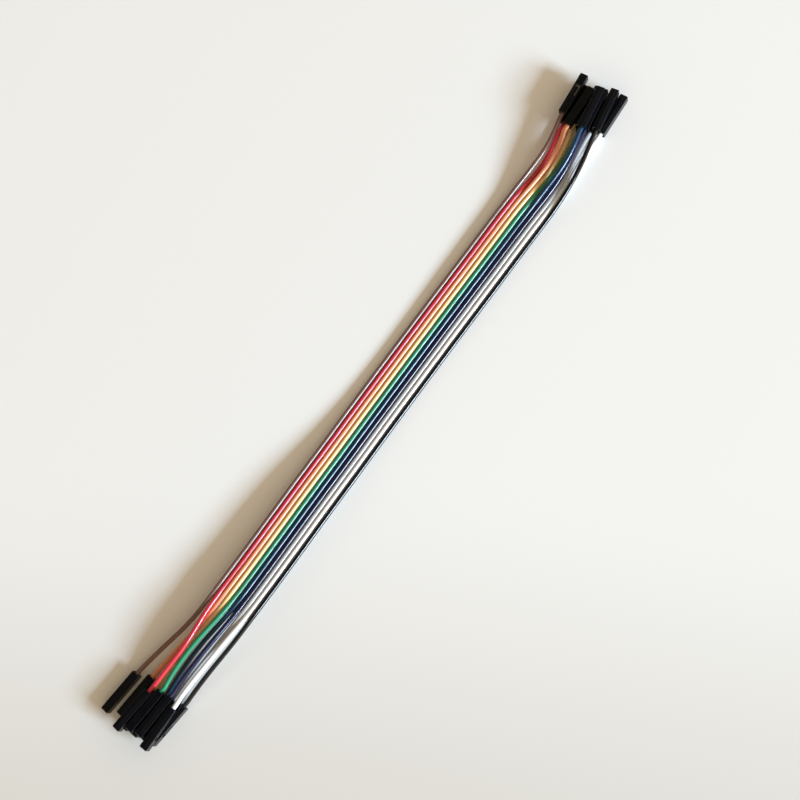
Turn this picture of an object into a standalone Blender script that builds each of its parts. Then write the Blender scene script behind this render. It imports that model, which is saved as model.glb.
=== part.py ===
"""Flat ribbon of ten bonded jumper wires with a single-way socket at each wire end.

All lengths are metres, +Z is up, the ribbon runs along X and rests on z = 0.
The low end of X is called end a, the high end of X is called end b.
"""
from math import radians

import bmesh
import bpy
import numpy as np
from mathutils import Matrix, Vector

MM = 0.001

# Driving dimensions of the wire and the ribbon
WIRE_OD = 1.4 * MM
WIRE_SPACE = 0.17 * MM
RING_STEP = 4.0 * MM
WIRE_GRIP = 1.2 * MM
STRAIGHT_EXIT = 0.5 * MM
EXIT_NEAR = 0.4 * MM
EXIT_FAR = 2.2 * MM
EASE_REACH = 5.0 * MM

# Driving dimensions of the crimped terminal
SHEET = 0.15 * MM
CRIMP_CLEARANCE = 0.05 * MM
BOX_LENGTH = 6.2 * MM
NECK_LENGTH = 1.1 * MM
CONDUCTOR_CRIMP_LENGTH = 1.8 * MM
CRIMP_SPACE = 0.7 * MM
INSULATION_CRIMP_LENGTH = 1.9 * MM
FOLD_LENGTH = 0.35 * MM
CONDUCTOR_CRIMP_HALF = 0.42 * MM
SEAM_HALF = 0.09 * MM

# Driving dimensions of the moulded housing
HOUSING_LENGTH = 14.0 * MM
WALL = 0.29 * MM
CAVITY_CLEARANCE = 0.08 * MM
FRONT_WALL = 1.5 * MM
FRONT_CLEARANCE = 0.3 * MM
FRONT_CHAMFER = 0.2 * MM
PIN_HOLE = 0.95 * MM
PIN_LEAD_IN = 1.45 * MM
PIN_LEAD_DEPTH = 0.45 * MM
LATCH_SET = 0.3 * MM
WINDOW_LENGTH = 4.0 * MM
WINDOW_WIDTH = 1.6 * MM
TONGUE_WIDTH = 0.9 * MM
TONGUE_LENGTH = 3.0 * MM
TONGUE_DROP = 0.05 * MM

# Clearances between the housings that lie bunched at each end
SIDE_GAP = 0.22 * MM
LAYER_GAP = 0.22 * MM

# Sizes that follow from the wire, the terminal and the housing
WIRE_PITCH = WIRE_OD + WIRE_SPACE
TERMINAL_HALF = WIRE_OD / 2 + CRIMP_CLEARANCE + SHEET / 2
CAVITY = 2 * TERMINAL_HALF + SHEET + 2 * CAVITY_CLEARANCE
HOUSING_SIDE = CAVITY + 2 * WALL
LANE = HOUSING_SIDE + SIDE_GAP
LAYER_STEP = HOUSING_SIDE + LAYER_GAP
CAVITY_FRONT = HOUSING_LENGTH - FRONT_WALL
TERMINAL_FRONT = CAVITY_FRONT - FRONT_CLEARANCE
BOX_REAR = TERMINAL_FRONT - BOX_LENGTH
NECK_REAR = BOX_REAR - NECK_LENGTH
CONDUCTOR_CRIMP_REAR = NECK_REAR - CONDUCTOR_CRIMP_LENGTH
INSULATION_CRIMP_FRONT = CONDUCTOR_CRIMP_REAR - CRIMP_SPACE
INSULATION_CRIMP_REAR = INSULATION_CRIMP_FRONT - INSULATION_CRIMP_LENGTH
WIRE_SEAT = INSULATION_CRIMP_REAR + WIRE_GRIP
WINDOW_REAR = BOX_REAR + LATCH_SET

COLOURS = {
    "brown": (0.105, 0.056, 0.040),
    "red": (0.630, 0.030, 0.065),
    "orange": (0.900, 0.175, 0.070),
    "yellow": (0.810, 0.570, 0.120),
    "green": (0.027, 0.325, 0.150),
    "blue": (0.014, 0.079, 0.187),
    "purple": (0.027, 0.021, 0.098),
    "grey": (0.630, 0.615, 0.600),
    "white": (0.880, 0.870, 0.850),
    "black": (0.006, 0.007, 0.010),
}
HOUSING_COLOUR = (0.008, 0.008, 0.010)
TERMINAL_COLOUR = (0.720, 0.715, 0.700)

# Middle line of the bonded ribbon in millimetres, from end a to end b
RIBBON = [
    (-73.7, -3.74, 4.4),
    (-61.6, -3.57, 3.9),
    (-48.1, -3.31, 3.7),
    (-33.5, -2.83, 3.0),
    (-19.3, -2.35, 1.9),
    (-5.5, -1.87, 1.1),
    (8.8, -1.64, 0.8),
    (23.2, -1.55, 0.8),
    (38.0, -1.55, 0.95),
    (52.7, -1.6, 1.1),
    (65.0, -1.58, 1.2),
    (76.1, -1.76, 1.5),
]

# Housings: layer, rear face in millimetres along x, lane across y, the turn of
# the front towards +y in degrees, and the roll of the latch window from the top
HOUSINGS = {
    "a": {
        "brown": (0, -104.9, 2.86, 3.6, 90.0),
        "orange": (0, -102.9, 1.27, 3.0, 90.0),
        "yellow": (0, -105.1, 0.11, 2.2, -90.0),
        "blue": (0, -104.7, -1.16, 2.0, 90.0),
        "grey": (0, -103.9, -2.25, 2.6, -90.0),
        "black": (0, -103.4, -3.39, 4.0, -90.0),
        "red": (1, -106.0, 0.25, 4.2, 90.0),
        "green": (1, -103.9, -0.80, 2.6, 180.0),
        "purple": (1, -103.2, -1.92, 1.6, 90.0),
        "white": (1, -105.1, -2.94, -1.3, -90.0),
    },
    "b": {
        "red": (0, 102.4, 1.96, 2.0, -90.0),
        "yellow": (0, 104.0, 0.94, 2.5, 90.0),
        "green": (0, 102.7, -0.08, 3.0, 90.0),
        "grey": (0, 104.2, -1.10, 3.6, -90.0),
        "white": (0, 105.7, -2.13, 4.2, -90.0),
        "brown": (1, 104.1, 2.50, 6.5, 0.0),
        "orange": (1, 101.6, 1.20, 3.0, 180.0),
        "purple": (1, 103.5, -0.69, 10.4, 180.0),
        "black": (1, 105.1, -1.76, 10.8, -90.0),
        "blue": (2, 102.3, -0.60, 10.2, -90.0),
    },
}

# Loose lengths of each wire between the split and its housing, in millimetres
LOOSE = {
    "a": {
        "brown": [(-99.1, 6.93, 1.9), (-93.8, 5.9, 2.9), (-87.5, 4.29, 3.6), (-80.7, 3.31, 4.0)],
        "red": [(-99.6, 0.5, 4.7), (-93.8, 0.01, 5.4), (-87.5, -0.01, 5.5), (-80.7, 1.19, 5.3)],
        "orange": [(-98.6, 2.94, 1.8), (-93.7, 2.2, 2.6), (-87.5, 1.51, 3.3), (-81.2, 0.25, 3.5)],
        "yellow": [(-98.6, 0.59, 1.8), (-93.7, 0.17, 2.6), (-87.5, -0.28, 3.3), (-81.2, -1.27, 3.6)],
        "green": [(-98.6, -1.65, 4.4), (-93.3, -1.66, 5.0), (-87.5, -1.71, 5.2), (-81.2, -2.3, 5.0)],
        "blue": [(-98.9, -2.82, 1.8), (-93.8, -2.7, 2.6), (-87.5, -2.86, 3.3), (-81.2, -3.49, 3.6)],
        "purple": [(-97.6, -5.14, 4.5), (-93.3, -5.3, 5.0), (-87.5, -5.56, 5.2), (-81.2, -5.69, 4.9)],
        "grey": [(-98.6, -6.3, 1.8), (-93.7, -6.45, 2.6), (-87.5, -6.88, 3.3), (-81.2, -7.14, 3.6)],
        "white": [(-99.3, -7.71, 4.3), (-93.8, -8.23, 5.0), (-87.5, -8.61, 5.2), (-81.2, -8.68, 4.9)],
        "black": [(-98.1, -9.44, 1.8), (-92.8, -9.74, 2.7), (-87.5, -10.17, 3.4), (-81.2, -10.62, 3.7)],
    },
    "b": {
        "brown": [(84.0, 4.75, 2.7), (91.0, 4.35, 3.6), (97.5, 5.25, 4.0)],
        "red": [(84.0, 2.85, 1.6), (90.5, 2.8, 1.45), (96.5, 4.55, 1.35)],
        "orange": [(84.0, 1.05, 2.6), (90.5, 0.6, 3.6), (96.0, 1.75, 4.0)],
        "yellow": [(84.0, -0.3, 1.7), (91.0, -0.25, 1.5), (98.0, 0.9, 1.35)],
        "green": [(84.0, -1.75, 1.6), (91.0, -1.75, 1.45), (97.0, -1.1, 1.35)],
        "blue": [(84.0, -3.15, 3.3), (91.0, -3.8, 5.0), (96.5, -3.15, 6.4)],
        "purple": [(84.0, -4.5, 2.05), (91.0, -4.3, 3.2), (97.5, -3.1, 4.0)],
        "grey": [(84.0, -6.05, 1.6), (91.0, -4.9, 1.45), (98.0, -3.8, 1.35)],
        "white": [(84.0, -7.55, 1.6), (91.0, -6.4, 1.45), (98.0, -6.05, 1.35)],
        "black": [(84.0, -8.75, 2.6), (91.0, -8.1, 3.6), (98.0, -6.65, 4.0)],
    },
}


def clear_scene():
    """Removes every object that is in the scene at the start."""
    for item in list(bpy.data.objects):
        bpy.data.objects.remove(item, do_unlink=True)


def new_collection(name):
    """Returns a new collection that is linked to the scene."""
    made = bpy.data.collections.new(name)
    bpy.context.scene.collection.children.link(made)
    return made


def new_material(name, colour, roughness, metallic=0.0):
    """Returns a Principled material with plain values."""
    made = bpy.data.materials.new(name)
    made.use_nodes = True
    shader = made.node_tree.nodes["Principled BSDF"]
    shader.inputs["Base Color"].default_value = (*colour, 1.0)
    shader.inputs["Roughness"].default_value = roughness
    shader.inputs["Metallic"].default_value = metallic
    return made


def loft(name, sections):
    """Returns a closed mesh through sections that share one point count."""
    mesh = bpy.data.meshes.new(name)
    shell = bmesh.new()
    rings = [[shell.verts.new(point) for point in section] for section in sections]
    count = len(rings[0])
    for near, far in zip(rings, rings[1:]):
        for i in range(count):
            j = (i + 1) % count
            shell.faces.new((near[i], near[j], far[j], far[i]))
    shell.faces.new(rings[0][::-1])
    shell.faces.new(rings[-1])
    bmesh.ops.recalc_face_normals(shell, faces=shell.faces)
    shell.to_mesh(mesh)
    shell.free()
    return mesh


def square_ring(x, half):
    """Returns the four corners of a square section at x."""
    return [(x, -half, -half), (x, half, -half), (x, half, half), (x, -half, half)]


def box_mesh(name, low, high):
    """Returns a box mesh between two corners."""
    (x0, y0, z0), (x1, y1, z1) = low, high
    near = [(x0, y0, z0), (x0, y1, z0), (x0, y1, z1), (x0, y0, z1)]
    far = [(x1, y0, z0), (x1, y1, z0), (x1, y1, z1), (x1, y0, z1)]
    return loft(name, [near, far])


def add_object(name, mesh, collection):
    """Links a new object for the mesh and returns it."""
    made = bpy.data.objects.new(name, mesh)
    collection.objects.link(made)
    return made


def add_boolean(target, tool, operation):
    """Adds an exact Boolean with the tool object to the target."""
    change = target.modifiers.new(tool.name, "BOOLEAN")
    change.operation = operation
    change.solver = "EXACT"
    change.object = tool


def housing_mesh(cutters):
    """Returns one moulded housing, rear face at x = 0 and latch window on top."""
    half = HOUSING_SIDE / 2
    shoulder = HOUSING_LENGTH - FRONT_CHAMFER
    body = add_object("housing_blank", loft("housing_blank", [
        square_ring(0.0, half),
        square_ring(shoulder, half),
        square_ring(HOUSING_LENGTH, half - FRONT_CHAMFER),
    ]), cutters)
    over = 0.5 * MM
    cavity = add_object("cavity_cut", loft("cavity_cut", [
        square_ring(-over, CAVITY / 2),
        square_ring(CAVITY_FRONT, CAVITY / 2),
    ]), cutters)
    pin = add_object("pin_cut", loft("pin_cut", [
        square_ring(CAVITY_FRONT - over, PIN_HOLE / 2),
        square_ring(HOUSING_LENGTH - PIN_LEAD_DEPTH, PIN_HOLE / 2),
        square_ring(HOUSING_LENGTH, PIN_LEAD_IN / 2),
        square_ring(HOUSING_LENGTH + over, PIN_LEAD_IN / 2),
    ]), cutters)
    window = add_object("window_cut", box_mesh(
        "window_cut",
        (WINDOW_REAR, -WINDOW_WIDTH / 2, CAVITY / 2 - WALL),
        (WINDOW_REAR + WINDOW_LENGTH, WINDOW_WIDTH / 2, half + over),
    ), cutters)
    tongue = add_object("tongue_add", box_mesh(
        "tongue_add",
        (WINDOW_REAR - WALL, -TONGUE_WIDTH / 2, CAVITY / 2),
        (WINDOW_REAR + TONGUE_LENGTH, TONGUE_WIDTH / 2, half - TONGUE_DROP),
    ), cutters)
    add_boolean(body, cavity, "DIFFERENCE")
    add_boolean(body, pin, "DIFFERENCE")
    add_boolean(body, window, "DIFFERENCE")
    add_boolean(body, tongue, "UNION")
    graph = bpy.context.evaluated_depsgraph_get()
    made = bpy.data.meshes.new_from_object(body.evaluated_get(graph))
    for item in (body, cavity, pin, window, tongue):
        item.hide_render = True
        item.display_type = "WIRE"
    bpy.data.objects.remove(body, do_unlink=True)
    return made


def sheet_section(x, half, top, seam):
    """Returns a folded sheet section that is open at the top.

    The sheet runs from one seam edge round the floor to the other seam edge.
    """
    t = SHEET / 2
    outer = [
        (seam, top + t), (half + t, top + t), (half + t, -half - t),
        (-half - t, -half - t), (-half - t, top + t), (-seam, top + t),
    ]
    inner = [
        (-seam, top - t), (-half + t, top - t), (-half + t, -half + t),
        (half - t, -half + t), (half - t, top - t), (seam, top - t),
    ]
    return [(x, y, z) for y, z in outer + inner]


def terminal_mesh():
    """Returns one folded terminal, in the same place as in its housing."""
    half = TERMINAL_HALF
    grip = CONDUCTOR_CRIMP_HALF
    low = -half + 2 * grip
    wide = half - 2.2 * SHEET
    return loft("terminal", [
        sheet_section(INSULATION_CRIMP_REAR, half, half, SEAM_HALF),
        sheet_section(INSULATION_CRIMP_FRONT, half, half, SEAM_HALF),
        sheet_section(INSULATION_CRIMP_FRONT + FOLD_LENGTH, half, -0.1 * half, wide),
        crimp_section(CONDUCTOR_CRIMP_REAR, grip, low, half),
        crimp_section(NECK_REAR, grip, low, half),
        sheet_section(NECK_REAR + FOLD_LENGTH, half, -0.1 * half, wide),
        sheet_section(BOX_REAR, half, half, SEAM_HALF),
        sheet_section(TERMINAL_FRONT, half, half, SEAM_HALF),
    ])


def crimp_section(x, grip, top, floor):
    """Returns the small closed-up section that grips the conductor."""
    t = SHEET / 2
    outer = [
        (SEAM_HALF, top + t), (grip + t, top + t), (grip + t, -floor - t),
        (-grip - t, -floor - t), (-grip - t, top + t), (-SEAM_HALF, top + t),
    ]
    inner = [
        (-SEAM_HALF, top - t), (-grip + t, top - t), (-grip + t, -floor + t),
        (grip - t, -floor + t), (grip - t, top - t), (SEAM_HALF, top - t),
    ]
    return [(x, y, z) for y, z in outer + inner]


def housing_frame(end, spec):
    """Returns the placement of a housing: x forward, latch window on z, origin at the rear."""
    layer, rear, lane, turn, roll = spec
    heading = radians(turn) if end == "b" else radians(180.0 - turn)
    height = HOUSING_SIDE / 2 + layer * LAYER_STEP
    place = Matrix.Translation((rear * MM, lane * LANE, height))
    aim = Matrix.Rotation(heading, 4, "Z")
    return place @ aim @ Matrix.Rotation(radians(roll), 4, "X")


def smooth_line(points, step):
    """Returns points at an even step along an eased curve through the given points."""
    nodes = [points[0] * 2 - points[1], *points, points[-1] * 2 - points[-2]]
    fine = []
    for a, b, c, d in zip(nodes, nodes[1:], nodes[2:], nodes[3:]):
        for k in range(24):
            fine.append(spline_point(a, b, c, d, k / 24))
    fine.append(points[-1])
    line = np.array(fine)
    for _ in range(2):
        line = eased(line)
    travel = distance_along(line)
    wanted = np.linspace(0.0, travel[-1], max(3, round(travel[-1] / step) + 1))
    even = np.stack([np.interp(wanted, travel, line[:, k]) for k in range(3)], axis=1)
    return [Vector(point) for point in even]


def distance_along(line):
    """Returns the distance from the first point to each point of a line."""
    steps = np.linalg.norm(np.diff(line, axis=0), axis=1)
    return np.concatenate([[0.0], np.cumsum(steps)])


def eased(line):
    """Returns the line with each point moved to the mean of its stretch.

    The stretch shrinks to nothing at both ends, so the wire leaves each housing straight.
    """
    travel = distance_along(line)
    hold = WIRE_SEAT + STRAIGHT_EXIT
    inside = np.minimum(travel, travel[-1] - travel) - hold
    reach = np.clip(0.8 * inside, 1e-6, EASE_REACH)
    eased_line = line.copy()
    for k in range(3):
        mean_step = (line[1:, k] + line[:-1, k]) / 2 * np.diff(travel)
        total = np.concatenate([[0.0], np.cumsum(mean_step)])
        ahead = np.interp(travel + reach, travel, total)
        behind = np.interp(travel - reach, travel, total)
        moved = (ahead - behind) / (2 * reach)
        eased_line[:, k] = np.where(inside > 0.0, moved, line[:, k])
    return eased_line


def spline_point(a, b, c, d, t):
    """Returns a point of the centripetal curve between b and c."""
    ta = 0.0
    tb = ta + max((b - a).length, 1e-9) ** 0.5
    tc = tb + max((c - b).length, 1e-9) ** 0.5
    td = tc + max((d - c).length, 1e-9) ** 0.5
    u = tb + t * (tc - tb)
    ab = a * ((tb - u) / (tb - ta)) + b * ((u - ta) / (tb - ta))
    bc = b * ((tc - u) / (tc - tb)) + c * ((u - tb) / (tc - tb))
    cd = c * ((td - u) / (td - tc)) + d * ((u - tc) / (td - tc))
    abc = ab * ((tc - u) / (tc - ta)) + bc * ((u - ta) / (tc - ta))
    bcd = bc * ((td - u) / (td - tb)) + cd * ((u - tb) / (td - tb))
    return abc * ((tc - u) / (tc - tb)) + bcd * ((u - tb) / (tc - tb))


def ribbon_line(offset):
    """Returns the bonded stations of a wire at an offset from the middle line."""
    middle = [Vector(point) * MM for point in RIBBON]
    line = []
    for i, here in enumerate(middle):
        ahead = middle[min(i + 1, len(middle) - 1)] - middle[max(i - 1, 0)]
        side = Vector((-ahead.y, ahead.x, 0.0)).normalized()
        line.append(here + side * offset)
    return line


def end_points(frame):
    """Returns the wire's seat inside the housing and two points straight behind it."""
    return [frame @ Vector((x, 0.0, 0.0)) for x in (WIRE_SEAT, -EXIT_NEAR, -EXIT_FAR)]


def wire_route(colour, offset, shift):
    """Returns the hand-chosen points of one wire from end a to end b."""
    near = end_points(housing_frame("a", HOUSINGS["a"][colour]))
    far = end_points(housing_frame("b", HOUSINGS["b"][colour]))
    loose_a = [Vector(point) * MM for point in LOOSE["a"][colour]]
    loose_b = [Vector(point) * MM for point in LOOSE["b"][colour]]
    route = near + loose_a + ribbon_line(offset) + loose_b + far[::-1]
    return [point + shift for point in route]


def add_wire(name, points, material, collection):
    """Adds one round wire as a closed tube along the points."""
    data = bpy.data.curves.new(name, "CURVE")
    data.dimensions = "3D"
    spline = data.splines.new("POLY")
    spline.points.add(len(points) - 1)
    for target, point in zip(spline.points, points):
        target.co = (*point, 1.0)
    spline.use_smooth = True
    data.bevel_depth = WIRE_OD / 2
    data.bevel_resolution = 2
    data.use_fill_caps = True
    data.materials.append(material)
    return add_object(name, data, collection)


def add_placed(name, source, frame, material, collection):
    """Adds a copy of a mesh with its placement taken into the points."""
    mesh = source.copy()
    mesh.name = name
    mesh.transform(frame)
    mesh.materials.clear()
    mesh.materials.append(material)
    return add_object(name, mesh, collection)


def centre_shift():
    """Returns the move that puts the middle of all housings on the origin."""
    half = HOUSING_SIDE / 2
    outline = square_ring(0.0, half)
    outline += square_ring(HOUSING_LENGTH - FRONT_CHAMFER, half)
    outline += square_ring(HOUSING_LENGTH, half - FRONT_CHAMFER)
    xs = []
    ys = []
    for end, specs in HOUSINGS.items():
        for spec in specs.values():
            frame = housing_frame(end, spec)
            for point in outline:
                corner = frame @ Vector(point)
                xs.append(corner.x)
                ys.append(corner.y)
    return Vector((-(min(xs) + max(xs)) / 2, -(min(ys) + max(ys)) / 2, 0.0))


def build():
    """Builds all wires, housings and terminals."""
    clear_scene()
    parts = new_collection("jumper_wire_ribbon")
    cutters = new_collection("cutters")
    housing = housing_mesh(cutters)
    terminal = terminal_mesh()
    shift = centre_shift()
    move = Matrix.Translation(shift)
    for i, (colour, value) in enumerate(COLOURS.items()):
        offset = ((len(COLOURS) - 1) / 2 - i) * WIRE_PITCH
        points = smooth_line(wire_route(colour, offset, shift), RING_STEP)
        skin = new_material("insulation_" + colour, value, 0.38)
        add_wire("wire_" + colour, points, skin, parts)
        for end in ("a", "b"):
            frame = move @ housing_frame(end, HOUSINGS[end][colour])
            tag = colour + "_" + end
            shell = new_material("housing_" + tag, HOUSING_COLOUR, 0.42)
            metal = new_material("terminal_" + tag, TERMINAL_COLOUR, 0.30, 1.0)
            add_placed("housing_" + tag, housing, frame, shell, parts)
            add_placed("terminal_" + tag, terminal, frame, metal, parts)


build()
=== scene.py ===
"""Flat ribbon of ten bonded jumper wires with a one-way crimp socket on every wire end.

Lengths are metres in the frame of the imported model. X runs along the ribbon from end a to
end b, +Z is up and the ribbon rests on z = 0.
"""
import logging
from dataclasses import dataclass, field
from enum import Enum
from typing import ClassVar

import bmesh
import bpy
import numpy as np
from mathutils import Matrix


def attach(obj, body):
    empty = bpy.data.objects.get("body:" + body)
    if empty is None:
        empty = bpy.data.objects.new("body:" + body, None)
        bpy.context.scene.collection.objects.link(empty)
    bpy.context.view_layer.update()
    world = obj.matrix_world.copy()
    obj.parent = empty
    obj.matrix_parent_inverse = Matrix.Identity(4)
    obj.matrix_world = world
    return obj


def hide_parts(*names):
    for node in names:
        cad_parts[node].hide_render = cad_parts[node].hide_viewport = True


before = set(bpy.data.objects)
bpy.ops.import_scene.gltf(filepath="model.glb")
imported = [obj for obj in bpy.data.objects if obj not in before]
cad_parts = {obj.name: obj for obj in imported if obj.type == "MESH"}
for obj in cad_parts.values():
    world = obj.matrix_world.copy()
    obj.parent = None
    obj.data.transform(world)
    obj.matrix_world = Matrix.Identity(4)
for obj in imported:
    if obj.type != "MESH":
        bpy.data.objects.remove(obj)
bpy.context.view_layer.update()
MM = 0.001
LOG = logging.getLogger("jumper_ribbon")
Array = np.ndarray
Colour = tuple[float, float, float, float]


class End(Enum):
    """The two ends of the ribbon, by the letter that the CAD nodes carry."""

    A = "a"
    B = "b"


class Hue(Enum):
    """The ten insulation colours in ribbon order, from +Y to -Y."""

    BROWN = "brown"
    RED = "red"
    ORANGE = "orange"
    YELLOW = "yellow"
    GREEN = "green"
    BLUE = "blue"
    PURPLE = "purple"
    GREY = "grey"
    WHITE = "white"
    BLACK = "black"


class BumpKind(Enum):
    """Relief of a finish: its strength and its height in metres."""

    DRAWN = (0.10, 0.00002)
    ERODED = (0.45, 0.00003)
    ROLLED = (0.30, 0.00001)
    TABLE = (0.05, 0.00010)


def linear(code: str) -> Colour:
    """Turns an sRGB hex colour into the linear values that a shader takes.

    Each channel c of 0 to 1 becomes c / 12.92 below 0.04045, else ((c + 0.055) / 1.055) ** 2.4.

    Args:
        code: Colour as #RRGGBB.

    Returns:
        Red, green, blue and an alpha of 1.
    """
    raw = np.array([int(code[i:i + 2], 16) for i in (1, 3, 5)]) / 255.0
    value = np.where(raw < 0.04045, raw / 12.92, ((raw + 0.055) / 1.055) ** 2.4)
    return (*value.tolist(), 1.0)


def add_node(
    tree: bpy.types.NodeTree,
    kind: str,
    settings: dict[str, object],
    inputs: dict[str | int, object],
) -> bpy.types.Node:
    """Adds one node with its settings, constants and links.

    Args:
        tree: Node tree that takes the node.
        kind: Blender's name of the node type.
        settings: Values of the node's own properties.
        inputs: For an input's name or number, a constant, or the socket or node that feeds it;
            a node feeds it from its first output.

    Returns:
        The new node.
    """
    node = tree.nodes.new(kind)
    for name, value in settings.items():
        setattr(node, name, value)
    for name, value in inputs.items():
        source = value.outputs[0] if isinstance(value, bpy.types.Node) else value
        if isinstance(source, bpy.types.NodeSocket):
            tree.links.new(source, node.inputs[name])
        else:
            node.inputs[name].default_value = source
    return node


def ring_quads(rings: int, sides: int) -> Array:
    """Numbers the quads of a tube of rings.

    Quad (j, k) joins points (j, k), (j, k + 1), (j + 1, k + 1) and (j + 1, k), where k wraps.

    Args:
        rings: Rings along the path.
        sides: Points in each ring.

    Returns:
        An array of shape (rings - 1) * sides by 4.
    """
    index = np.arange(rings * sides).reshape(rings, sides)
    beside = np.roll(index, -1, axis=1)
    corners = (index[:-1], beside[:-1], beside[1:], index[1:])
    return np.stack(corners, axis=-1).reshape(-1, 4)


def smooth_step(value: Array) -> Array:
    """Returns 3 t^2 - 2 t^3 of the value held between 0 and 1."""
    held = np.clip(value, 0.0, 1.0)
    return held * held * (3.0 - 2.0 * held)


def ripple(travel: Array, spacing: float, seed: int) -> Array:
    """Gives an uneven wave: seeded values from 0 to 1 at an even spacing, joined smoothly.

    Args:
        travel: Distances along the piece.
        spacing: Distance between two of the seeded values.
        seed: Number that fixes the wave.

    Returns:
        One value for each distance.
    """
    level = np.random.default_rng(seed).random(int(travel.max() / spacing) + 3)
    place = travel / spacing
    low = np.floor(place).astype(int)
    share = smooth_step(place - low)
    return level[low] * (1.0 - share) + level[low + 1] * share


def distance_along(line: Array) -> Array:
    """Returns the distance from the first point of a line to each of its points."""
    steps = np.linalg.norm(np.diff(line, axis=0), axis=1)
    return np.concatenate([[0.0], np.cumsum(steps)])


def path_axes(line: Array) -> tuple[Array, Array, Array]:
    """Gives the axes of a path: along it, level to its left, and up from both.

    The tangent is the central difference, the side is Z x tangent made one long, and the
    up axis is tangent x side.

    Args:
        line: Points of the path, one a row.

    Returns:
        Tangent, side and up, each the shape of the line.
    """
    ahead = np.gradient(line, axis=-2)
    ahead = ahead / np.linalg.norm(ahead, axis=-1, keepdims=True)
    side = np.cross(np.array([0.0, 0.0, 1.0]), ahead)
    side = side / np.linalg.norm(side, axis=-1, keepdims=True)
    return ahead, side, np.cross(ahead, side)


@dataclass
class Surface:
    """A closed mesh as arrays, with values on its points that a finish may read.

    Attributes:
        points: Points in metres, one a row.
        quads: Four point numbers a row.
        caps: Longer polygons that close the ends.
        values: A number or a vector for each point, by name.
    """

    points: Array
    quads: Array
    caps: list[list[int]] = field(default_factory=list)
    values: dict[str, Array] = field(default_factory=dict)

    def placed(self, place: Array) -> "Surface":
        """Returns the surface with its points taken through a 4 by 4 placement."""
        moved = self.points @ place[:3, :3].T + place[:3, 3]
        return Surface(moved, self.quads, self.caps, self.values)

    def with_more(self, other: "Surface") -> "Surface":
        """Returns one surface with both shells, and the point values that both have."""
        start = len(self.points)
        return Surface(
            np.concatenate([self.points, other.points]),
            np.concatenate([self.quads, other.quads + start]),
            self.caps + [[start + i for i in cap] for cap in other.caps],
            {n: np.concatenate([v, other.values[n]]) for n, v in self.values.items()},
        )

    def piece(self, name: str, finish: bpy.types.Material, sharp: float) -> bpy.types.Object:
        """Makes the mesh object, with faces outward and smooth below an edge angle.

        Args:
            name: Name of the piece.
            finish: Its material.
            sharp: Angle in degrees past which an edge stays sharp.

        Returns:
            The object, at the origin, unturned and unscaled.
        """
        mesh = bpy.data.meshes.new(name)
        mesh.from_pydata(self.points.tolist(), [], self.quads.tolist() + self.caps)
        for key, value in self.values.items():
            flat = value.ndim == 1
            kind = "FLOAT" if flat else "FLOAT_VECTOR"
            layer = mesh.attributes.new(key, kind, "POINT")
            layer.data.foreach_set("value" if flat else "vector", value.astype(np.float32).ravel())
        shell = bmesh.new()
        shell.from_mesh(mesh)
        bmesh.ops.recalc_face_normals(shell, faces=shell.faces)
        shell.to_mesh(mesh)
        shell.free()
        mesh.shade_smooth()
        mesh.set_sharp_from_angle(angle=np.radians(sharp))
        mesh.materials.append(finish)
        made = bpy.data.objects.new(name, mesh)
        bpy.context.scene.collection.objects.link(made)
        return made


@dataclass(frozen=True)
class Finish:
    """A finish made of nodes on one Principled shader.

    Attributes:
        name: Name of the material.
        colour: sRGB hex of its main colour.
        roughness: Middle roughness.
        relief: Strength and height of its bump.
    """

    name: str
    colour: str
    roughness: float
    relief: BumpKind

    def start(self) -> tuple[bpy.types.Material, bpy.types.NodeTree]:
        """Returns a new material and its node tree, emptied."""
        made = bpy.data.materials.new(self.name)
        made.use_nodes = True
        made.node_tree.nodes.clear()
        return made, made.node_tree

    def close(self, tree: bpy.types.NodeTree, height: bpy.types.Node, inputs: dict[str, object]) -> None:
        """Adds the bump of a height, the shader that it bends and the material's output.

        Args:
            tree: Node tree of the material.
            height: Node whose first output is the height.
            inputs: Inputs of the Principled shader other than its normal.
        """
        strength, distance = self.relief.value
        bump = add_node(tree, "ShaderNodeBump", {}, {
            "Strength": strength, "Distance": distance, "Height": height,
        })
        shader = add_node(tree, "ShaderNodeBsdfPrincipled", {}, {**inputs, "Normal": bump})
        add_node(tree, "ShaderNodeOutputMaterial", {}, {"Surface": shader})


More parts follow.
